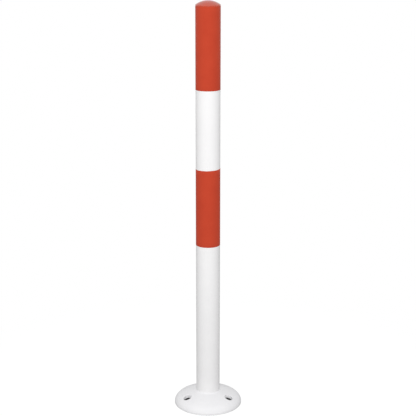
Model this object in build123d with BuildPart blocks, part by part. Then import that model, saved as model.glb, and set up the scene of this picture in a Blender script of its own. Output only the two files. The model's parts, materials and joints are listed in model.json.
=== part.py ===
from build123d import *
import os
from math import atan2, cos, degrees, radians, sin, sqrt

os.makedirs("parts", exist_ok=True)

# Bolt-down bollard: a striped steel tube standing in a domed base flange.
# Millimetres, +Z up along the post. The origin is the middle of the base's underside
# and the photographed front faces -Y.

# Post tube
post_diameter = 60.0
post_wall = 2.5
post_length = 1000.0
seat_height = 16.0

# Base flange, a domed casting that stands on its upright rim. The round of its edge leaves the
# rim at base_edge_start degrees above the horizontal.
base_diameter = 172.0
base_wall = 8.0
base_rim_height = 5.0
base_edge_radius = 22.0
base_edge_start = 14.0
base_crown_radius = 170.0
base_foot_bevel = 0.8

# Socket under the middle of the dome
socket_clearance = 0.1
socket_wall = 6.0
seat_ledge_width = 3.5
seat_ledge_thickness = 6.0
socket_root_bevel = 3.0

# Webs between the socket and the rim, one midway between each two holes
web_thickness = 5.0

# Anchor bolt holes
bolt_count = 3
bolt_hole_diameter = 20.0
bolt_hole_inset = 25.0
bolt_first_angle = 90.0
bolt_hole_bevel = 0.8

# Weld bead around the foot of the post
weld_leg = 2.5

# Red film wraps, each with a lapped seam at the back
film_thickness = 0.3
film_lap = 8.0
film_seam_angle = 90.0
upper_band_height = 199.0
white_band_height = 195.0
lower_band_height = 195.0

# Head cap pressed into the top of the tube
cap_rise = 12.2
cap_land_height = 1.0
cap_wall = 2.5
cap_edge_bevel = 0.3
spigot_length = 26.0
spigot_clearance = 0.6
spigot_chamfer = 1.0
rib_count = 8
rib_width = 1.6
rib_clearance = 0.05
rib_lead = 3.0

# Sizes that follow
post_radius = post_diameter / 2
post_bore_radius = post_radius - post_wall
post_top = seat_height + post_length

base_radius = base_diameter / 2
edge_centre_radius = base_radius - base_edge_radius * cos(radians(base_edge_start))
edge_centre_height = base_rim_height - base_edge_radius * sin(radians(base_edge_start))
crown_centre_height = edge_centre_height - sqrt(
    (base_crown_radius - base_edge_radius) ** 2 - edge_centre_radius**2
)
edge_angle = degrees(atan2(edge_centre_height - crown_centre_height, edge_centre_radius))
crown_radius = base_crown_radius * cos(radians(edge_angle))

socket_radius = post_radius + socket_clearance
hub_radius = socket_radius + socket_wall
seat_bore_radius = socket_radius - seat_ledge_width
hub_foot = seat_height - seat_ledge_thickness
bolt_circle_radius = base_radius - bolt_hole_inset
web_first_angle = bolt_first_angle + 180 / bolt_count
web_inner_radius = hub_radius - socket_wall / 2
web_depth = base_wall / 2

weld_toe_radius = post_radius + weld_leg
weld_seat_height = crown_centre_height + sqrt(base_crown_radius**2 - weld_toe_radius**2)

film_radius = post_radius + film_thickness
upper_band_bottom = post_top - upper_band_height
lower_band_bottom = upper_band_bottom - white_band_height - lower_band_height

cap_dome_radius = (film_radius**2 + cap_rise**2) / (2 * cap_rise)
cap_shoulder = post_top + cap_land_height
cap_dome_centre = cap_shoulder + cap_rise - cap_dome_radius
spigot_radius = post_bore_radius - spigot_clearance
spigot_bore_radius = spigot_radius - cap_wall
spigot_foot = post_top - spigot_length
cap_roof_height = cap_dome_centre + sqrt((cap_dome_radius - cap_wall) ** 2 - spigot_bore_radius**2)


def crown_height(radius, depth=0.0):
    """Height of the crown at this radius, measured depth under its skin."""
    return crown_centre_height + sqrt((base_crown_radius - depth) ** 2 - radius**2)


def edge_point(angle, depth):
    """Point of the rounded edge at this angle above the horizontal, depth under its skin."""
    reach = base_edge_radius - depth
    return (edge_centre_radius + reach * cos(radians(angle)), edge_centre_height + reach * sin(radians(angle)))


def inner_line(inner_radius, depth):
    """Draw the skin's course at this depth in straight stretches, out and down to the floor."""
    Polyline(
        (inner_radius, crown_height(inner_radius, depth)),
        edge_point(edge_angle, depth),
        edge_point((edge_angle + base_edge_start) / 2, depth),
        (base_radius - depth, 0),
    )


# One web under the dome, running into the middle of the socket wall and of the shell
with BuildPart() as web:
    with BuildSketch(Plane.XZ):
        with BuildLine():
            inner_line(web_inner_radius, web_depth)
            Polyline(
                (base_radius - web_depth, 0),
                (web_inner_radius, hub_foot),
                (web_inner_radius, crown_height(web_inner_radius, web_depth)),
            )
        make_face()
    extrude(amount=web_thickness / 2, both=True)


# Base flange: a shell under a spherical crown whose rounded edge ends on an upright rim, the
# socket with its seat, the flat that carries the weld, the webs and the bolt holes
with BuildPart() as base_flange:
    with BuildSketch(Plane.XZ) as flange_section:
        with BuildLine():
            Polyline(
                (socket_radius, crown_height(0)),
                (crown_radius, crown_height(0)),
                (crown_radius, crown_height(crown_radius)),
            )
            CenterArc(
                (edge_centre_radius, edge_centre_height),
                base_edge_radius,
                edge_angle,
                base_edge_start - edge_angle,
            )
            Polyline((base_radius, base_rim_height), (base_radius, 0), (base_radius - base_wall, 0))
            inner_line(hub_radius, base_wall)
            Polyline(
                (hub_radius, crown_height(hub_radius, base_wall)),
                (hub_radius, hub_foot),
                (seat_bore_radius, hub_foot),
                (seat_bore_radius, seat_height),
                (socket_radius, seat_height),
                (socket_radius, crown_height(0)),
            )
        make_face()
        chamfer(flange_section.vertices().sort_by_distance((base_radius, 0))[0], base_foot_bevel)
        hub_root = (hub_radius, crown_height(hub_radius, base_wall))
        chamfer(flange_section.vertices().sort_by_distance(hub_root)[0], socket_root_bevel)
    revolve(axis=Axis.Z)
    with Locations((0, 0, crown_centre_height)):
        Sphere(base_crown_radius, rotation=(90, 0, 0), mode=Mode.INTERSECT)
    with BuildSketch(Plane.XY.offset(weld_seat_height)):
        Circle(weld_toe_radius)
    extrude(amount=crown_height(0), mode=Mode.SUBTRACT)
    with PolarLocations(0, bolt_count, web_first_angle):
        add(web.part)
    with BuildSketch(Plane.XY):
        with PolarLocations(bolt_circle_radius, bolt_count, bolt_first_angle):
            Circle(bolt_hole_diameter / 2)
    extrude(amount=crown_height(0), mode=Mode.SUBTRACT)
    hole_mouths = (
        base_flange.edges(Select.LAST).filter_by(GeomType.LINE, reverse=True).sort_by(Axis.Z)[-bolt_count:]
    )
    chamfer(hole_mouths, bolt_hole_bevel)
base_flange.part.label = "base_flange"
export_step(base_flange.part, "parts/base_flange.step")


# Post tube, its lower end on the seat in the socket
with BuildPart() as post_tube:
    with BuildSketch(Plane.XY.offset(seat_height)):
        Circle(post_radius)
        Circle(post_bore_radius, mode=Mode.SUBTRACT)
    extrude(amount=post_length)
post_tube.part.label = "post_tube"
export_step(post_tube.part, "parts/post_tube.step")


# Weld bead in the corner between the post and the flat round the socket's mouth
with BuildPart() as foot_weld:
    with BuildSketch(Plane.XZ):
        with BuildLine():
            Polyline(
                (post_radius, weld_seat_height),
                (weld_toe_radius, weld_seat_height),
                (post_radius, weld_seat_height + weld_leg),
                close=True,
            )
        make_face()
    revolve(axis=Axis.Z)
foot_weld.part.label = "foot_weld"
export_step(foot_weld.part, "parts/foot_weld.step")


# Red film wraps: one turn round the tube and a lap that lies on the wrap's own start
lap_angle = degrees(film_lap / film_radius)
red_bands = (
    ("upper_red_band", upper_band_bottom, upper_band_height),
    ("lower_red_band", lower_band_bottom, lower_band_height),
)
for band_name, band_bottom, band_height in red_bands:
    with BuildPart() as red_band:
        with BuildSketch(Plane.XY.offset(band_bottom)):
            Circle(film_radius)
            with BuildLine():
                lap_outer = CenterArc((0, 0), film_radius + film_thickness, film_seam_angle, lap_angle)
                lap_inner = CenterArc((0, 0), film_radius, film_seam_angle, lap_angle)
                Line(lap_outer @ 0, lap_inner @ 0)
                Line(lap_outer @ 1, lap_inner @ 1)
            make_face()
            Circle(post_radius, mode=Mode.SUBTRACT)
        extrude(amount=band_height)
    red_band.part.label = band_name
    export_step(red_band.part, f"parts/{band_name}.step")


# Head cap: a spherical dome flush with the film, on a hollow spigot whose crush ribs grip the tube
with BuildPart() as head_cap:
    with BuildSketch(Plane.XY.offset(post_top)):
        Circle(film_radius)
    extrude(amount=cap_dome_radius)
    with Locations((0, 0, cap_dome_centre)):
        Sphere(cap_dome_radius, rotation=(90, 0, 0), mode=Mode.INTERSECT)
    chamfer(head_cap.edges().filter_by(GeomType.CIRCLE).sort_by(Axis.Z)[-1], cap_edge_bevel)
    with BuildSketch(Plane.XY.offset(spigot_foot)):
        Circle(spigot_radius)
    extrude(amount=spigot_length)
    chamfer(head_cap.faces().sort_by(Axis.Z)[0].edges(), spigot_chamfer)
    with BuildSketch(Plane.XY.offset(spigot_foot + rib_lead)):
        with PolarLocations(spigot_bore_radius, rib_count):
            Rectangle(
                post_bore_radius - rib_clearance - spigot_bore_radius,
                rib_width,
                align=(Align.MIN, Align.CENTER),
            )
    extrude(amount=spigot_length - rib_lead)
    with BuildSketch(Plane.XY.offset(spigot_foot)):
        Circle(spigot_bore_radius)
    extrude(amount=cap_roof_height - spigot_foot, mode=Mode.SUBTRACT)
head_cap.part.label = "head_cap"
export_step(head_cap.part, "parts/head_cap.step")
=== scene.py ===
"""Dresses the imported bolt-down bollard: steel tube, domed casting, weld, film wraps and cap.

Metres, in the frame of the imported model: +Z up along the post, the ground at z = 0 and the
front towards -Y. Outlines are drawn as (radius, height) points and spun about the post's axis.
"""

import json
import logging
from abc import ABC, abstractmethod
from dataclasses import dataclass
from enum import Enum
from math import acos, atan2, cos, hypot, pi, radians, sin, sqrt, tau

import bpy
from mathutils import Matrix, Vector


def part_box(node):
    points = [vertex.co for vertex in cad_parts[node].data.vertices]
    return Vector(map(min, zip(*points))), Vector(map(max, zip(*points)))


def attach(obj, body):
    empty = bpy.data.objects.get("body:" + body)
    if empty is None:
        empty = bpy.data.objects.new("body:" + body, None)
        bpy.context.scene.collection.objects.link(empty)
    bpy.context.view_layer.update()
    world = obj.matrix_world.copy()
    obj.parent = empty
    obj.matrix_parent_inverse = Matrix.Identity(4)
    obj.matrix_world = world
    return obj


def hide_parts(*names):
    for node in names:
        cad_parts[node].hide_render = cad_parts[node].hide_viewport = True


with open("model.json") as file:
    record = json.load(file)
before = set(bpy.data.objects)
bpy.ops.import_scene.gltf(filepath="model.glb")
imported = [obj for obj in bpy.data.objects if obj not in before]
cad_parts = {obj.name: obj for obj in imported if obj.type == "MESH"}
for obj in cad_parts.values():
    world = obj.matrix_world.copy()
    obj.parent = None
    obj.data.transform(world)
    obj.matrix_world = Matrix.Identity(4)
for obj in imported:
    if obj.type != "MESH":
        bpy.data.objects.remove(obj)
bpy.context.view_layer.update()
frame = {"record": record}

log = logging.getLogger("bollard")

Point = tuple[float, float]
Colour = tuple[float, float, float]

# Points this close together become one
MERGE_REACH = 1e-6
# Size of the plane that shrinks to a new piece's first point
SEED_SIZE = 0.01
# Edges that turn by more than this are shaded sharp
SHARP_ANGLE = radians(38)
# The part of a cloud pattern's values that a finish uses
CLOUD_RANGE = (0.3, 0.7)
# How much of a relief shows
RELIEF_STRENGTH = 0.5
# Stretches round a corner that is small or hidden
FEW_STEPS = 2


class Slot(Enum):
    """The record's material slots."""

    WHITE_COATING = "white_coating"
    RED_FILM = "red_film"
    RED_CAP = "red_cap"


class Cut(Enum):
    """Ways in which one mesh changes another."""

    JOIN = "UNION"
    REMOVE = "DIFFERENCE"


# Outlines


def arc(centre: Point, radius: float, start: float, end: float, steps: int) -> list[Point]:
    """Work out points along an arc, both ends included.

    Args:
        centre: Middle of the arc.
        radius: Its radius.
        start: Angle of the first point, in radians above the horizontal.
        end: Angle of the last point.
        steps: Number of stretches between the two.

    Returns:
        The points in order.
    """
    angles = [start + (end - start) * step / steps for step in range(steps + 1)]
    return [(centre[0] + radius * cos(angle), centre[1] + radius * sin(angle)) for angle in angles]


def curve(first: Vector, pull: Vector, last: Vector, steps: int) -> list[Point]:
    """Work out points along a curve whose two ends head for the same point.

    Args:
        first: Start of the curve.
        pull: The point that both ends head for.
        last: End of the curve.
        steps: Number of stretches between the two ends.

    Returns:
        The points in order, both ends included.
    """
    points = []
    for step in range(steps + 1):
        t = step / steps
        point = first * (1 - t) ** 2 + pull * 2 * t * (1 - t) + last * t**2
        points.append((point.x, point.y))
    return points


def soft_corner(before: Point, corner: Point, after: Point, reach: float, steps: int = 4) -> list[Point]:
    """Round a corner of an outline.

    Args:
        before: The point that the outline comes from.
        corner: The sharp corner.
        after: The point that the outline goes to.
        reach: Length that the rounding takes from each side.
        steps: Number of stretches round the corner.

    Returns:
        The points of the rounded corner.
    """
    peak = Vector(corner)
    first = peak + (Vector(before) - peak).normalized() * reach
    last = peak + (Vector(after) - peak).normalized() * reach
    return curve(first, peak, last, steps)


# Modelling moves


def deselect_all() -> None:
    """Leave nothing selected, so that the next move acts on the new piece alone."""
    if bpy.context.mode != "OBJECT":
        bpy.ops.object.mode_set(mode="OBJECT")
    bpy.ops.object.select_all(action="DESELECT")


def take_up(piece: bpy.types.Object) -> None:
    """Make a piece the only selected and the active one.

    Args:
        piece: The piece.
    """
    deselect_all()
    piece.select_set(True)
    bpy.context.view_layer.objects.active = piece


def start_line(name: str, place: Vector) -> bpy.types.Object:
    """Start a piece as a single point, left selected in edit mode.

    Args:
        name: Name of the piece.
        place: Where the point lies.

    Returns:
        The new piece.
    """
    deselect_all()
    bpy.ops.mesh.primitive_plane_add(size=SEED_SIZE)
    piece = bpy.context.object
    piece.name = name
    piece.data.name = name
    bpy.ops.object.mode_set(mode="EDIT")
    bpy.ops.mesh.select_all(action="SELECT")
    bpy.ops.mesh.merge(type="CENTER")
    bpy.ops.transform.translate(value=place)
    return piece


def draw_on(places: list[Vector], last: Vector) -> None:
    """Extrude what is selected from place to place.

    Args:
        places: The places to go through.
        last: Where the selection is now.
    """
    for place in places:
        bpy.ops.mesh.extrude_region_move(TRANSFORM_OT_translate={"value": place - last})
        last = place


def draw_outline(name: str, points: list[Point], closed: bool) -> bpy.types.Object:
    """Draw an outline of (radius, height) points in the plane of X and Z.

    Args:
        name: Name of the piece.
        points: The outline's points in order.
        closed: Whether it returns to its first point.

    Returns:
        The new piece, in edit mode with all of it selected.
    """
    places = [Vector((radius, 0, height)) for radius, height in points]
    piece = start_line(name, places[0])
    draw_on(places[1:] + places[: int(closed)], places[0])
    bpy.ops.mesh.select_all(action="SELECT")
    bpy.ops.mesh.remove_doubles(threshold=MERGE_REACH)
    return piece


def clean_skin() -> None:
    """Merge doubles and turn every face outwards, in edit mode."""
    bpy.ops.mesh.select_all(action="SELECT")
    bpy.ops.mesh.remove_doubles(threshold=MERGE_REACH)
    bpy.ops.mesh.normals_make_consistent(inside=False)


def turn_on_axis(name: str, points: list[Point], steps: int, closed: bool = True) -> bpy.types.Object:
    """Spin an outline a full turn about the post's axis.

    Args:
        name: Name of the piece.
        points: The outline's points in order.
        steps: Number of stretches round the axis.
        closed: Whether the outline returns to its first point.

    Returns:
        The new piece, in object mode.
    """
    piece = draw_outline(name, points, closed)
    bpy.ops.mesh.spin(steps=steps, angle=tau, center=(0, 0, 0), axis=(0, 0, 1))
    clean_skin()
    bpy.ops.object.mode_set(mode="OBJECT")
    return piece


def turn_selection(angle: float) -> None:
    """Turn what is selected about the post's axis."""
    bpy.ops.transform.rotate(value=-angle, orient_axis="Z", center_override=(0, 0, 0))


def stand_plates(
    name: str, points: list[Point], thickness: float, count: int, first_angle: float = 0.0
) -> bpy.types.Object:
    """Model upright plates that stand round the post's axis at equal angles.

    Args:
        name: Name of the piece.
        points: One plate's outline in order.
        thickness: Thickness of each plate.
        count: Number of plates.
        first_angle: Direction of the first plate.

    Returns:
        All plates as one mesh, in object mode.
    """
    plates = draw_outline(name, points, closed=True)
    bpy.ops.mesh.edge_face_add()
    half = Vector((0, thickness / 2, 0))
    bpy.ops.transform.translate(value=-half)
    bpy.ops.mesh.extrude_region_move(TRANSFORM_OT_translate={"value": half * 2})
    bpy.ops.mesh.select_all(action="SELECT")
    turn_selection(first_angle)
    for _ in range(count - 1):
        bpy.ops.mesh.duplicate()
        turn_selection(tau / count)
    clean_skin()
    bpy.ops.object.mode_set(mode="OBJECT")
    return plates


def combine(piece: bpy.types.Object, tool: bpy.types.Object, cut: Cut) -> None:
    """Join a second mesh with a piece or cut it away from it.

    Args:
        piece: The piece that changes.
        tool: The second mesh, which is used up.
        cut: What the second mesh does.
    """
    take_up(piece)
    bpy.ops.object.modifier_add(type="BOOLEAN")
    modifier = piece.modifiers[-1]
    modifier.operation = cut.value
    modifier.solver = "EXACT"
    modifier.object = tool
    bpy.ops.object.modifier_apply(modifier=modifier.name)
    bpy.data.objects.remove(tool, do_unlink=True)


def round_edges(piece: bpy.types.Object, width: float, segments: int, limit: float) -> None:
    """Round a piece's sharp edges.

    Args:
        piece: The piece.
        width: Reach of the rounding.
        segments: Stretches across it.
        limit: Edges that turn by more than this angle are rounded.
    """
    take_up(piece)
    bpy.ops.object.modifier_add(type="BEVEL")
    modifier = piece.modifiers[-1]
    modifier.width = width
    modifier.segments = segments
    modifier.limit_method = "ANGLE"
    modifier.angle_limit = limit
    bpy.ops.object.modifier_apply(modifier=modifier.name)


def smooth(piece: bpy.types.Object, limit: float = SHARP_ANGLE) -> None:
    """Shade a piece smooth, apart from edges that turn by more than the limit."""
    take_up(piece)
    bpy.ops.object.shade_smooth_by_angle(angle=limit)


# Finishes


class Nodes:
    """A material's node tree, with short calls for the nodes that the finishes use."""

    def __init__(self, name: str) -> None:
        """Start an empty material with its output and its shader.

        Args:
            name: Name of the material.
        """
        self.material = bpy.data.materials.new(name)
        self.material.use_nodes = True
        self.tree = self.material.node_tree
        self.tree.nodes.clear()
        self.shader = self.tree.nodes.new("ShaderNodeBsdfPrincipled")
        output = self.tree.nodes.new("ShaderNodeOutputMaterial")
        self.link(self.shader.outputs["BSDF"], output.inputs["Surface"])
        self.place = self.tree.nodes.new("ShaderNodeTexCoord").outputs["Object"]

    def link(self, source: bpy.types.NodeSocket, target: bpy.types.NodeSocket) -> None:
        """Connect two sockets."""
        self.tree.links.new(source, target)

    def noise(self, scale: float, detail: float = 2.0) -> bpy.types.NodeSocket:
        """Add a cloud pattern.

        Args:
            scale: Clouds per metre.
            detail: Octaves of finer clouds.

        Returns:
            The pattern's value, around a half.
        """
        node = self.tree.nodes.new("ShaderNodeTexNoise")
        node.inputs["Scale"].default_value = scale
        node.inputs["Detail"].default_value = detail
        self.link(self.place, node.inputs["Vector"])
        return node.outputs["Fac"]

    def cells(self, scale: float) -> bpy.types.NodeSocket:
        """Add a pattern of small round cells.

        Args:
            scale: Cells per metre.

        Returns:
            The distance from each cell's middle.
        """
        node = self.tree.nodes.new("ShaderNodeTexVoronoi")
        node.feature = "F1"
        node.inputs["Scale"].default_value = scale
        self.link(self.place, node.inputs["Vector"])
        return node.outputs["Distance"]

    def spread(self, value: bpy.types.NodeSocket, low: float, high: float) -> bpy.types.NodeSocket:
        """Map a cloud pattern onto a range.

        Args:
            value: The pattern.
            low: What its dark parts become.
            high: What its bright parts become.

        Returns:
            The mapped value.
        """
        node = self.tree.nodes.new("ShaderNodeMapRange")
        node.inputs["From Min"].default_value = CLOUD_RANGE[0]
        node.inputs["From Max"].default_value = CLOUD_RANGE[1]
        node.inputs["To Min"].default_value = low
        node.inputs["To Max"].default_value = high
        self.link(value, node.inputs["Value"])
        return node.outputs["Result"]

    def blend(self, factor: bpy.types.NodeSocket, first: Colour, second: Colour) -> bpy.types.NodeSocket:
        """Blend two colours by a pattern.

        Args:
            factor: The pattern, from 0 to 1.
            first: Colour where it is 0.
            second: Colour where it is 1.

        Returns:
            The blended colour.
        """
        node = self.tree.nodes.new("ShaderNodeMix")
        node.data_type = "RGBA"
        self.link(factor, node.inputs["Factor"])
        node.inputs["A"].default_value = (*first, 1)
        node.inputs["B"].default_value = (*second, 1)
        return node.outputs["Result"]

    def bump(
        self, height: bpy.types.NodeSocket, distance: float, below: bpy.types.NodeSocket | None = None
    ) -> bpy.types.NodeSocket:
        """Turn a pattern into relief.

        Args:
            height: The pattern.
            distance: Height of the relief in metres.
            below: Normal of the relief that this one lies on, if any.

        Returns:
            The bent normal.
        """
        node = self.tree.nodes.new("ShaderNodeBump")
        node.inputs["Distance"].default_value = distance
        node.inputs["Strength"].default_value = RELIEF_STRENGTH
        self.link(height, node.inputs["Height"])
        if below is not None:
            self.link(below, node.inputs["Normal"])
        return node.outputs["Normal"]


@dataclass(frozen=True)
class Finish(ABC):
    """A surface whose colour and gloss vary in faint clouds, under a fine relief of its own."""

    name: str
    colour: Colour
    shade: Colour
    specular: float
    roughness: tuple[float, float]
    cloud_scale: float
    gloss_scale: float
    cloud_detail: float = 3.0
    gloss_detail: float = 2.0

    @abstractmethod
    def relief(self, nodes: Nodes) -> bpy.types.NodeSocket:
        """Add the finish's relief and give its normal."""

    def build(self) -> bpy.types.Material:
        """Make the material.

        Returns:
            The finished material.
        """
        nodes = Nodes(self.name)
        clouds = nodes.spread(nodes.noise(self.cloud_scale, self.cloud_detail), 0.0, 1.0)
        gloss = nodes.spread(nodes.noise(self.gloss_scale, self.gloss_detail), *self.roughness)
        sockets = nodes.shader.inputs
        nodes.link(nodes.blend(clouds, self.colour, self.shade), sockets["Base Color"])
        nodes.link(gloss, sockets["Roughness"])
        nodes.link(self.relief(nodes), sockets["Normal"])
        sockets["Specular IOR Level"].default_value = self.specular
        return nodes.material


@dataclass(frozen=True)
class PowderCoat(Finish):
    """White powder coat: an orange-peel skin over a fine grain, and a satin gloss."""

    name: str = "white_powder_coat"
    colour: Colour = (0.876, 0.869, 0.872)
    shade: Colour = (0.851, 0.845, 0.850)
    specular: float = 0.35
    roughness: tuple[float, float] = (0.36, 0.47)
    cloud_scale: float = 22.0
    gloss_scale: float = 66.0
    gloss_detail: float = 4.0
    peel_scale: float = 620.0
    peel_height: float = 0.00006
    grain_scale: float = 2600.0
    grain_height: float = 0.000015

    def relief(self, nodes: Nodes) -> bpy.types.NodeSocket:
        """Add the orange peel, on the grain."""
        grain = nodes.bump(nodes.noise(self.grain_scale, detail=1.0), self.grain_height)
        return nodes.bump(nodes.noise(self.peel_scale, detail=1.0), self.peel_height, grain)


@dataclass(frozen=True)
class WrapFilm(Finish):
    """Red sign film: small beads under a satin face, not laid on quite evenly."""

    name: str = "red_wrap_film"
    colour: Colour = (0.533, 0.0585, 0.0250)
    shade: Colour = (0.505, 0.0530, 0.0228)
    specular: float = 0.12
    roughness: tuple[float, float] = (0.40, 0.50)
    cloud_scale: float = 30.0
    gloss_scale: float = 60.0
    bead_scale: float = 3300.0
    bead_height: float = 0.00002
    lay_scale: float = 60.0
    lay_height: float = 0.00006

    def relief(self, nodes: Nodes) -> bpy.types.NodeSocket:
        """Add the unevenness from laying it on, over the beads."""
        beads = nodes.bump(nodes.cells(self.bead_scale), self.bead_height)
        return nodes.bump(nodes.noise(self.lay_scale, detail=1.0), self.lay_height, beads)


@dataclass(frozen=True)
class MouldedPlastic(Finish):
    """Red moulded plastic: an even colour under a fine spark-eroded grain."""

    name: str = "red_moulded_plastic"
    colour: Colour = (0.550, 0.053, 0.014)
    shade: Colour = (0.528, 0.047, 0.012)
    specular: float = 1.0
    roughness: tuple[float, float] = (0.10, 0.15)
    cloud_scale: float = 70.0
    gloss_scale: float = 140.0
    grain_scale: float = 2200.0
    grain_height: float = 0.00003

    def relief(self, nodes: Nodes) -> bpy.types.NodeSocket:
        """Add the grain."""
        return nodes.bump(nodes.noise(self.grain_scale), self.grain_height)


def hand_over(piece: bpy.types.Object, finish: bpy.types.Material, slot: Slot, node: str) -> None:
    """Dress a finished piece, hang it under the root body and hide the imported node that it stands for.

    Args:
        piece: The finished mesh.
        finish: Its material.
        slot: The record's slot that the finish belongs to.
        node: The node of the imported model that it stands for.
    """
    deselect_all()
    piece.data.materials.clear()
    piece.data.materials.append(finish)
    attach(piece, "root")
    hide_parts(node)
    log.info("%s: %d faces, %s", piece.name, len(piece.data.polygons), slot.value)


# The object's pieces


@dataclass
class BaseCasting:
    """The domed flange: shell, socket with its seat, webs and three bolt holes."""

    crown_radius: float = 0.170
    edge_radius: float = 0.022
    edge_start: float = radians(14)
    rim_height: float = 0.005
    rim_softness: float = 0.0004
    rim_foot_softness: float = 0.00096
    wall: float = 0.008
    socket_radius: float = 0.0301
    socket_wall: float = 0.006
    seat_ledge_width: float = 0.0035
    seat_ledge_thickness: float = 0.006
    hub_foot_softness: float = 0.0012
    seat_bore_softness: float = 0.0006
    root_softness: float = 0.004
    web_thickness: float = 0.005
    web_lift: float = 0.0006
    mouth_softness: float = 0.0013
    # Slope of a hole's rounded mouth at its rings, in degrees from the crown
    mouth_turns: tuple[float, ...] = (90, 74, 58, 42, 28, 18)
    # Depth of the first ring, and reach and rise of the flare over the crown, in shares of mouth_softness
    mouth_start: float = 1.6
    brim_reach: float = 1.9
    brim_rise: float = 0.45
    # How far a hole's cutter stands over the crown and under the ground
    cutter_head: float = 0.004
    cutter_foot: float = 0.005
    # Height between the cutter's rings before each goes to its place under the crown
    ring_gap: float = 0.001
    crown_steps: int = 26
    edge_steps: int = 18
    hole_steps: int = 96
    steps: int = 192

    def __post_init__(self) -> None:
        """Take the outer sizes from the frame and the holes from the record."""
        low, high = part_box("base_flange")
        self.radius = (high[0] - low[0]) / 2
        self.seat_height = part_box("post_tube")[0][2]
        self.land_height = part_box("foot_weld")[0][2]
        self.land_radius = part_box("foot_weld")[1][0]
        across = self.radius - self.edge_radius * cos(self.edge_start)
        up = self.rim_height - self.edge_radius * sin(self.edge_start)
        self.edge_centre = (across, up)
        self.crown_centre = up - sqrt((self.crown_radius - self.edge_radius) ** 2 - across**2)
        self.edge_angle = atan2(up - self.crown_centre, across)
        mount = next(m for m in frame["record"]["mounts"] if m["name"] == "bolt_holes")
        self.hole_count = mount["dims"]["count"]
        self.hole_radius = mount["dims"]["hole_r_mm"] / 1000
        self.hole_circle = mount["dims"]["pcd_mm"] / 2000
        self.first_hole_angle = pi / 2

    def crown_height(self, radius: float, depth: float = 0.0) -> float:
        """Height of the crown at a radius, measured this deep under its skin."""
        return self.crown_centre + sqrt((self.crown_radius - depth) ** 2 - radius**2)

    def skin(self, inner_radius: float, depth: float) -> list[Point]:
        """Draw the crown and the rounded edge at a depth under the skin, from inside outwards.

        Args:
            inner_radius: Radius at which the crown starts.
            depth: How deep under the skin the line runs.

        Returns:
            The points in order.
        """
        start = acos(inner_radius / (self.crown_radius - depth))
        crown_middle = (0, self.crown_centre)
        crown = arc(crown_middle, self.crown_radius - depth, start, self.edge_angle, self.crown_steps)
        edge_radius = self.edge_radius - depth
        edge = arc(self.edge_centre, edge_radius, self.edge_angle, self.edge_start, self.edge_steps)
        return crown + edge[1:]

    def section(self) -> list[Point]:
        """Draw the casting's section through its wall.

        Returns:
            The points in order, from the socket's mouth out over the crown and back inside.
        """
        inner_foot = self.radius - self.wall
        hub = self.socket_radius + self.socket_wall
        hub_foot = self.seat_height - self.seat_ledge_thickness
        bore = self.socket_radius - self.seat_ledge_width
        ledge = (bore, self.seat_height)
        root = (hub, self.crown_height(hub, self.wall))
        outer = self.skin(self.land_radius, 0.0)
        inner = self.skin(hub + self.root_softness, self.wall)
        rim_foot = (self.radius, 0.0)
        middle = (self.radius - self.wall / 2, 0.0)
        return [
            (self.socket_radius, self.land_height),
            *outer[:-1],
            *soft_corner(outer[-2], outer[-1], rim_foot, self.rim_softness),
            *soft_corner(outer[-1], rim_foot, middle, self.rim_foot_softness),
            *soft_corner(middle, (inner_foot, 0.0), inner[-1], self.rim_foot_softness),
            *reversed(inner),
            *soft_corner(inner[0], root, (hub, hub_foot), self.root_softness)[1:],
            *soft_corner(root, (hub, hub_foot), (bore, hub_foot), self.hub_foot_softness),
            *soft_corner((hub, hub_foot), (bore, hub_foot), ledge, self.seat_bore_softness, FEW_STEPS),
            ledge,
            (self.socket_radius, self.seat_height),
        ]

    def webs(self) -> bpy.types.Object:
        """Model the webs that run from the socket to the rim, one midway between each two holes.

        Returns:
            All webs as one mesh.
        """
        inner = self.socket_radius + self.socket_wall / 2
        depth = self.wall / 2
        hub_foot = self.seat_height - self.seat_ledge_thickness
        underside = [(self.radius - depth, self.web_lift), (inner, hub_foot + self.web_lift)]
        first_angle = self.first_hole_angle + pi / self.hole_count
        points = self.skin(inner, depth) + underside
        return stand_plates("webs", points, self.web_thickness, self.hole_count, first_angle)

    def mouth_rings(self) -> list[Point]:
        """Draw the flare of a hole's mouth, as (radius, depth under the crown) of each ring.

        Returns:
            The rings from the hole's wall outwards and up.
        """
        rings = [(self.hole_radius, self.mouth_softness * self.mouth_start)]
        for turn in self.mouth_turns:
            reach = self.mouth_softness * (1 - sin(radians(turn)))
            depth = self.mouth_softness * (1 - cos(radians(turn)))
            rings.append((self.hole_radius + reach, depth))
        brim = self.hole_radius + self.mouth_softness * self.brim_reach
        return [*rings, (brim, -self.mouth_softness * self.brim_rise), (brim, -self.cutter_head)]

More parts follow.
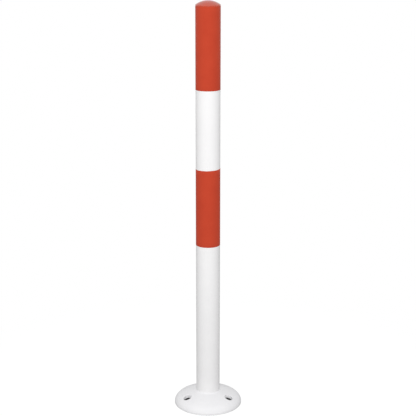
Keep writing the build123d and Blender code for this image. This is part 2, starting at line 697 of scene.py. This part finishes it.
    def hole_cutter(self, angle: float) -> bpy.types.Object:
        """Model what is cut away for one bolt hole, flared where it leaves the crown.

        Args:
            angle: Direction of the hole from the post's axis.

        Returns:
            The cutter.
        """
        across, along = self.hole_circle * cos(angle), self.hole_circle * sin(angle)
        deselect_all()
        bpy.ops.mesh.primitive_circle_add(
            vertices=self.hole_steps,
            radius=self.hole_radius,
            fill_type="NGON",
            location=(across, along, -self.cutter_foot),
        )
        cutter = bpy.context.object
        bpy.ops.object.transform_apply(location=True, rotation=True, scale=True)
        bpy.ops.object.mode_set(mode="EDIT")
        bpy.ops.mesh.select_all(action="SELECT")
        rings = self.mouth_rings()
        size = self.hole_radius
        for radius, _ in rings:
            bpy.ops.mesh.extrude_region_move(TRANSFORM_OT_translate={"value": (0, 0, self.ring_gap)})
            scale = radius / size
            bpy.ops.transform.resize(value=(scale, scale, 1), center_override=(across, along, 0))
            size = radius
        bpy.ops.object.mode_set(mode="OBJECT")
        for vertex in cutter.data.vertices:
            level = round((vertex.co.z + self.cutter_foot) / self.ring_gap)
            if level > 0:
                crown = self.crown_height(hypot(vertex.co.x, vertex.co.y))
                vertex.co.z = crown - rings[level - 1][1]
        bpy.ops.object.mode_set(mode="EDIT")
        clean_skin()
        bpy.ops.object.mode_set(mode="OBJECT")
        return cutter

    def build(self, coat: bpy.types.Material) -> None:
        """Model the casting and dress it.

        Args:
            coat: The white powder coat.
        """
        casting = turn_on_axis("base_casting", self.section(), self.steps)
        combine(casting, self.webs(), Cut.JOIN)
        for hole in range(self.hole_count):
            angle = self.first_hole_angle + tau * hole / self.hole_count
            combine(casting, self.hole_cutter(angle), Cut.REMOVE)
        smooth(casting)
        hand_over(casting, coat, Slot.WHITE_COATING, "base_flange")


@dataclass
class PostTube:
    """The coated steel tube, its ends cut square and broken by hand."""

    wall: float = 0.0025
    end_softness: float = 0.0005
    end_steps: int = 3
    steps: int = 144

    def build(self, coat: bpy.types.Material) -> None:
        """Model the tube and dress it.

        Args:
            coat: The white powder coat.
        """
        low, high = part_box("post_tube")
        outer = (high[0] - low[0]) / 2
        inner = outer - self.wall
        corners = [(outer, low[2]), (outer, high[2]), (inner, high[2]), (inner, low[2])]
        outline: list[Point] = []
        for index, corner in enumerate(corners):
            before = corners[index - 1]
            after = corners[(index + 1) % len(corners)]
            outline += soft_corner(before, corner, after, self.end_softness, self.end_steps)
        tube = turn_on_axis("coated_tube", outline, self.steps)
        smooth(tube)
        hand_over(tube, coat, Slot.WHITE_COATING, "post_tube")


@dataclass
class WeldBead:
    """The coated weld bead between the tube and the casting, hollow-faced with soft ripples."""

    spread: float = 0.0032
    rise: float = 0.0028
    belly: float = 0.0008
    toe_depth: float = 0.0004
    ripple_length: float = 0.0026
    ripple_height: float = 0.00010
    # How far each ripple bows at the middle of the face, in radians of its wave
    ripple_bow: float = 2.2
    # What stays still: this share of the face at each edge, and this height over the flat
    still_share: float = 0.02
    still_height: float = 0.0001
    sharp_angle: float = radians(60)
    steps: int = 432
    face_steps: int = 10

    def build(self, casting: BaseCasting, coat: bpy.types.Material) -> None:
        """Model the bead and dress it.

        Args:
            casting: The casting that carries it.
            coat: The white powder coat.
        """
        low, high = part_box("post_tube")
        root = (high[0] - low[0]) / 2
        toe = (root + self.spread, casting.crown_height(root + self.spread))
        top = (root, casting.land_height + self.rise)
        corner = (root + self.belly, casting.land_height + self.belly)
        face = curve(Vector(top), Vector(corner), Vector(toe), self.face_steps)
        land = casting.land_height
        outline = face + [(toe[0], toe[1] - self.toe_depth), (casting.land_radius, land), (root, land)]
        bead = turn_on_axis("weld_bead", outline, self.steps)
        self.ripple(bead, root, land)
        smooth(bead, self.sharp_angle)
        hand_over(bead, coat, Slot.WHITE_COATING, "foot_weld")

    def ripple(self, bead: bpy.types.Object, root: float, land: float) -> None:
        """Raise the ripples that the weld pool leaves across the bead's face.

        Args:
            bead: The bead's mesh.
            root: Radius of the tube.
            land: Height of the flat that the bead lies on.
        """
        count = round(tau * root / self.ripple_length)
        for vertex in bead.data.vertices:
            radius = hypot(vertex.co.x, vertex.co.y)
            across = (radius - root) / self.spread
            on_face = self.still_share < across < 1 - self.still_share
            if vertex.co.z <= land + self.still_height or not on_face:
                continue
            angle = atan2(vertex.co.y, vertex.co.x)
            crest = 0.5 + 0.5 * cos(count * angle - self.ripple_bow * cos(pi * (across - 0.5)))
            push = self.ripple_height * crest * sin(pi * across)
            vertex.co.x += vertex.co.x / radius * push
            vertex.co.y += vertex.co.y / radius * push
            vertex.co.z += push


@dataclass
class FilmWrap:
    """One red wrap: a turn of film round the tube whose end laps over its own start at the back."""

    node: str
    name: str
    top_tilt: float = 0.0
    thickness: float = 0.0003
    lap: float = 0.008
    seam_angle: float = pi / 2
    climb: float = 0.0025
    # Height of the lap over the tube and rounding of the cut edges, in shares of the thickness
    lap_lift: float = 1.03
    edge_share: float = 0.3
    edge_angle: float = radians(50)
    # How far the cut edges wander, in two waves of which the fast one has a share of the slow one
    wander: float = 0.00008
    slow_waves: int = 3
    fast_waves: int = 7
    fast_share: float = 0.5
    wave_twist: float = 7.0
    steps: int = 180
    rows: int = 16

    def path(self, radius: float) -> list[Point]:
        """Work out the film's course round the tube in plan, from its start to its lapped end.

        Args:
            radius: Radius of the tube.

        Returns:
            (x, y) points of the film's inner side.
        """
        lap_angle = self.lap / radius
        climb_angle = self.climb / radius
        total = tau + lap_angle
        points = []
        for step in range(self.steps + 1):
            turned = total * step / self.steps
            lift = min(max((turned - (tau - climb_angle)) / climb_angle, 0.0), 1.0)
            reach = radius + self.thickness * self.lap_lift * lift * lift * (3 - 2 * lift)
            angle = self.seam_angle + turned
            points.append((reach * cos(angle), reach * sin(angle)))
        return points

    def build(self, film: bpy.types.Material) -> None:
        """Model the wrap and dress it.

        Args:
            film: The red film.
        """
        low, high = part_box(self.node)
        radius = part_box("post_tube")[1][0]
        path = self.path(radius)
        bottom, top = low[2], high[2]
        levels = [bottom + (top - bottom) * row / self.rows for row in range(self.rows + 1)]
        edge = [Vector((path[0][0], path[0][1], level)) for level in levels]
        wrap = start_line(self.name, edge[0])
        draw_on(edge[1:], edge[0])
        bpy.ops.mesh.select_all(action="SELECT")
        places = [Vector((x, y, 0)) for x, y in path]
        draw_on(places[1:], places[0])
        bpy.ops.object.mode_set(mode="OBJECT")
        self.trim(wrap, radius, bottom, top)
        if wrap.data.polygons[0].normal.dot(wrap.data.polygons[0].center) < 0:
            bpy.ops.object.mode_set(mode="EDIT")
            bpy.ops.mesh.select_all(action="SELECT")
            bpy.ops.mesh.flip_normals()
            bpy.ops.object.mode_set(mode="OBJECT")
        take_up(wrap)
        bpy.ops.object.modifier_add(type="SOLIDIFY")
        thickness = wrap.modifiers[-1]
        thickness.thickness = self.thickness
        thickness.offset = 1
        bpy.ops.object.modifier_apply(modifier=thickness.name)
        round_edges(wrap, self.thickness * self.edge_share, FEW_STEPS, self.edge_angle)
        smooth(wrap)
        hand_over(wrap, film, Slot.RED_FILM, self.node)

    def trim(self, wrap: bpy.types.Object, radius: float, bottom: float, top: float) -> None:
        """Let the cut edges wander a little, and tilt the top one as it was laid on.

        Args:
            wrap: The film's mesh.
            radius: Radius of the tube.
            bottom: Height of the lower edge.
            top: Height of the upper edge.
        """
        for vertex in wrap.data.vertices:
            share = (vertex.co.z - bottom) / (top - bottom)
            angle = atan2(vertex.co.y, vertex.co.x)
            wave = self.wander * sin(self.slow_waves * angle + self.wave_twist * share)
            wave += self.wander * self.fast_share * sin(self.fast_waves * angle)
            vertex.co.z += share * self.top_tilt * vertex.co.x / radius
            vertex.co.z -= abs(wave) * (1 if share > 0.5 else -1) * abs(2 * share - 1)


@dataclass
class HeadCap:
    """The moulded cap: a low dome with a crisp shoulder and a ribbed spigot in the tube."""

    rise: float = 0.0102
    land: float = 0.0030
    shoulder_softness: float = 0.0006
    # Angle by which the dome's arc ends short of the shoulder
    shoulder_turn: float = 0.012
    lip_softness: float = 0.0002
    spigot_clearance: float = 0.0006
    spigot_softness: float = 0.0004
    wall: float = 0.0025
    rib_count: int = 8
    rib_width: float = 0.0016
    rib_lead: float = 0.003
    rib_clearance: float = 0.00005
    rib_root: float = 0.0004
    lead_in: float = 0.001
    dome_steps: int = 28
    shoulder_steps: int = 5
    lead_steps: int = 3
    roof_steps: int = 16
    steps: int = 144

    def build(self, plastic: bpy.types.Material) -> None:
        """Model the cap and dress it.

        Args:
            plastic: The red moulded plastic.
        """
        low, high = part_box("head_cap")
        tube_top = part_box("post_tube")[1][2]
        radius = high[0]
        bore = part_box("post_tube")[1][0] - PostTube.wall
        spigot = bore - self.spigot_clearance
        hollow = spigot - self.wall
        shoulder = tube_top + self.land
        dome = (radius**2 + self.rise**2) / (2 * self.rise)
        centre = shoulder + self.rise - dome
        end = atan2(shoulder - centre, radius) + self.shoulder_turn
        crown = arc((0, centre), dome, pi / 2, end, self.dome_steps)
        inside = dome - self.wall
        roof = centre + sqrt(inside**2 - hollow**2)
        inner_dome = arc((0, centre), inside, acos(hollow / inside), pi / 2, self.roof_steps)
        foot = low[2]
        edge, lip, neck = (radius, shoulder), (radius, tube_top), (spigot, tube_top)
        outline = [
            *crown,
            *soft_corner(crown[-1], edge, lip, self.shoulder_softness, self.shoulder_steps),
            *soft_corner(edge, lip, neck, self.lip_softness, FEW_STEPS),
            neck,
            *soft_corner(neck, (spigot, foot), (hollow, foot), self.lead_in, self.lead_steps),
            *soft_corner((spigot, foot), (hollow, foot), (hollow, roof), self.spigot_softness, FEW_STEPS),
            *inner_dome,
        ]
        cap = turn_on_axis("head_cap_moulding", outline, self.steps, closed=False)
        ribs = self.ribs(hollow + self.wall / 2, bore - self.rib_clearance, foot, tube_top)
        combine(cap, ribs, Cut.JOIN)
        smooth(cap)
        hand_over(cap, plastic, Slot.RED_CAP, "head_cap")

    def ribs(self, inner: float, outer: float, foot: float, top: float) -> bpy.types.Object:
        """Model the crush ribs that grip the tube.

        Args:
            inner: Radius at which the ribs start, inside the spigot's wall.
            outer: Radius of their outer face.
            foot: Height of the spigot's lower end.
            top: Height of the spigot's upper end.

        Returns:
            All ribs as one mesh.
        """
        bottom = foot + self.rib_lead
        points = [
            (inner, top + self.rib_root),
            (outer, top + self.rib_root),
            (outer, bottom + self.lead_in),
            (outer - self.lead_in / 2, bottom),
            (inner, bottom),
        ]
        return stand_plates("crush_ribs", points, self.rib_width, self.rib_count)


# Floor, light and camera


@dataclass(frozen=True)
class Studio:
    """A white floor that keeps a faint shadow, soft light from the front and the camera."""

    floor_radius: float = 6.0
    floor_steps: int = 96
    floor_colour: float = 0.55
    # What the camera sees near the object: how strongly the shadow shows, over what glow
    shadow_share: float = 0.22
    shadow_glow: float = 0.86
    # Radii between which the shadow fades out, and between which the floor under the casting ends
    fade_reach: tuple[float, float] = (0.30, 0.80)
    hidden_reach: tuple[float, float] = (0.078, 0.084)
    world_strength: float = 0.67
    key_place: tuple[float, float, float] = (-0.11, -2.0, 1.25)
    key_target: tuple[float, float, float] = (0.0, 0.0, 0.55)
    key_size: float = 1.0
    key_power: float = 23.4
    camera_place: tuple[float, float, float] = (0.0, -2.612, 1.234)
    camera_pitch: float = radians(15.262)
    lens: float = 94.5
    sensor: float = 36.0

    def build(self) -> None:
        """Set up the floor, the light and the camera."""
        self.floor()
        self.world()
        self.key_light()
        self.camera()
        bpy.context.scene.view_settings.view_transform = "Standard"
        log.info("studio: floor, world, key light and camera")

    def floor(self) -> None:
        """Lay a round floor that is white to the camera, apart from the object's faint shadow."""
        deselect_all()
        bpy.ops.mesh.primitive_circle_add(
            vertices=self.floor_steps, radius=self.floor_radius, fill_type="NGON"
        )
        floor = bpy.context.object
        floor.name = "studio_floor"
        material = bpy.data.materials.new("studio_floor")
        material.use_nodes = True
        tree = material.node_tree
        tree.nodes.clear()
        place = tree.nodes.new("ShaderNodeTexCoord").outputs["Object"]
        reach = tree.nodes.new("ShaderNodeVectorMath")
        reach.operation = "LENGTH"
        tree.links.new(place, reach.inputs[0])
        away = reach.outputs["Value"]
        plain = tree.nodes.new("ShaderNodeBsdfDiffuse")
        plain.inputs["Color"].default_value = (self.floor_colour,) * 3 + (1,)
        near = self.lit_floor(tree, self.shadow_share, self.shadow_glow)
        far = tree.nodes.new("ShaderNodeEmission")
        open_floor = self.choose(tree, self.ramp(tree, away, *self.fade_reach), near, far.outputs[0])
        under = self.lit_floor(tree, self.floor_colour, 0.0)
        seen = self.choose(tree, self.ramp(tree, away, *self.hidden_reach), under, open_floor)
        path = tree.nodes.new("ShaderNodeLightPath")
        choice = self.choose(tree, path.outputs["Is Camera Ray"], plain.outputs[0], seen)
        output = tree.nodes.new("ShaderNodeOutputMaterial")
        tree.links.new(choice, output.inputs["Surface"])
        floor.data.materials.append(material)

    @staticmethod
    def lit_floor(tree: bpy.types.NodeTree, colour: float, glow: float) -> bpy.types.NodeSocket:
        """Add a floor that shows its light and shadow on top of an even glow.

        Args:
            tree: The floor's node tree.
            colour: Share of the light that the floor throws back.
            glow: Brightness that is there without any light.

        Returns:
            The shader.
        """
        lit = tree.nodes.new("ShaderNodeBsdfDiffuse")
        lit.inputs["Color"].default_value = (colour,) * 3 + (1,)
        even = tree.nodes.new("ShaderNodeEmission")
        even.inputs["Strength"].default_value = glow
        both = tree.nodes.new("ShaderNodeAddShader")
        tree.links.new(lit.outputs[0], both.inputs[0])
        tree.links.new(even.outputs[0], both.inputs[1])
        return both.outputs[0]

    @staticmethod
    def ramp(
        tree: bpy.types.NodeTree, value: bpy.types.NodeSocket, low: float, high: float
    ) -> bpy.types.NodeSocket:
        """Turn a value into a soft step.

        Args:
            tree: The floor's node tree.
            value: The value.
            low: Where the step starts from 0.
            high: Where it has reached 1.

        Returns:
            The step's value.
        """
        node = tree.nodes.new("ShaderNodeMapRange")
        node.interpolation_type = "SMOOTHSTEP"
        node.inputs["From Min"].default_value = low
        node.inputs["From Max"].default_value = high
        tree.links.new(value, node.inputs["Value"])
        return node.outputs["Result"]

    @staticmethod
    def choose(
        tree: bpy.types.NodeTree,
        factor: bpy.types.NodeSocket,
        first: bpy.types.NodeSocket,
        second: bpy.types.NodeSocket,
    ) -> bpy.types.NodeSocket:
        """Mix two shaders.

        Args:
            tree: The floor's node tree.
            factor: The share of the second shader.
            first: Shader where the factor is 0.
            second: Shader where it is 1.

        Returns:
            The mixed shader.
        """
        node = tree.nodes.new("ShaderNodeMixShader")
        tree.links.new(factor, node.inputs["Fac"])
        tree.links.new(first, node.inputs[1])
        tree.links.new(second, node.inputs[2])
        return node.outputs[0]

    def world(self) -> None:
        """Surround the object with soft white light, pure white where it is seen or mirrored."""
        world = bpy.data.worlds.new("studio_world")
        bpy.context.scene.world = world
        world.use_nodes = True
        tree = world.node_tree
        background = tree.nodes["Background"]
        background.inputs["Color"].default_value = (1, 1, 1, 1)
        path = tree.nodes.new("ShaderNodeLightPath")
        mirrored = tree.nodes.new("ShaderNodeMath")
        mirrored.operation = "MAXIMUM"
        tree.links.new(path.outputs["Is Glossy Ray"], mirrored.inputs[0])
        tree.links.new(path.outputs["Is Transmission Ray"], mirrored.inputs[1])
        shown = tree.nodes.new("ShaderNodeMath")
        shown.operation = "MAXIMUM"
        tree.links.new(path.outputs["Is Camera Ray"], shown.inputs[0])
        tree.links.new(mirrored.outputs["Value"], shown.inputs[1])
        strength = tree.nodes.new("ShaderNodeMapRange")
        strength.inputs["To Min"].default_value = self.world_strength
        strength.inputs["To Max"].default_value = 1.0
        tree.links.new(shown.outputs["Value"], strength.inputs["Value"])
        tree.links.new(strength.outputs["Result"], background.inputs["Strength"])

    def key_light(self) -> None:
        """Hang the large soft lamp, which glossy pieces don't mirror as a hot spot."""
        deselect_all()
        bpy.ops.object.light_add(type="AREA", location=self.key_place)
        lamp = bpy.context.object
        lamp.name = "key_light"
        lamp.data.shape = "DISK"
        lamp.data.size = self.key_size
        lamp.data.energy = self.key_power
        lamp.visible_glossy = False
        aim = Vector(self.key_target) - Vector(self.key_place)
        lamp.rotation_euler = aim.to_track_quat("-Z", "Y").to_euler()

    def camera(self) -> None:
        """Place the camera where the photograph was taken."""
        deselect_all()
        bpy.ops.object.camera_add(location=self.camera_place, rotation=(pi / 2 - self.camera_pitch, 0, 0))
        camera = bpy.context.object
        camera.name = "camera"
        camera.data.lens = self.lens
        camera.data.sensor_width = self.sensor
        bpy.context.scene.camera = camera


def main() -> None:
    """Build the studio, then every sub-assembly in order."""
    logging.basicConfig(level=logging.INFO, format="%(name)s: %(message)s")
    Studio().build()
    coat = PowderCoat().build()
    casting_coat = PowderCoat(
        name="casting_powder_coat", colour=(0.872, 0.868, 0.882), shade=(0.850, 0.848, 0.864)
    ).build()
    film = WrapFilm().build()
    plastic = MouldedPlastic().build()
    casting = BaseCasting()
    casting.build(casting_coat)
    PostTube().build(coat)
    WeldBead().build(casting, casting_coat)
    FilmWrap("upper_red_band", "upper_film_wrap").build(film)
    FilmWrap("lower_red_band", "lower_film_wrap", top_tilt=0.0008).build(film)
    HeadCap().build(plastic)
    deselect_all()


if __name__ == "__main__":
    main()
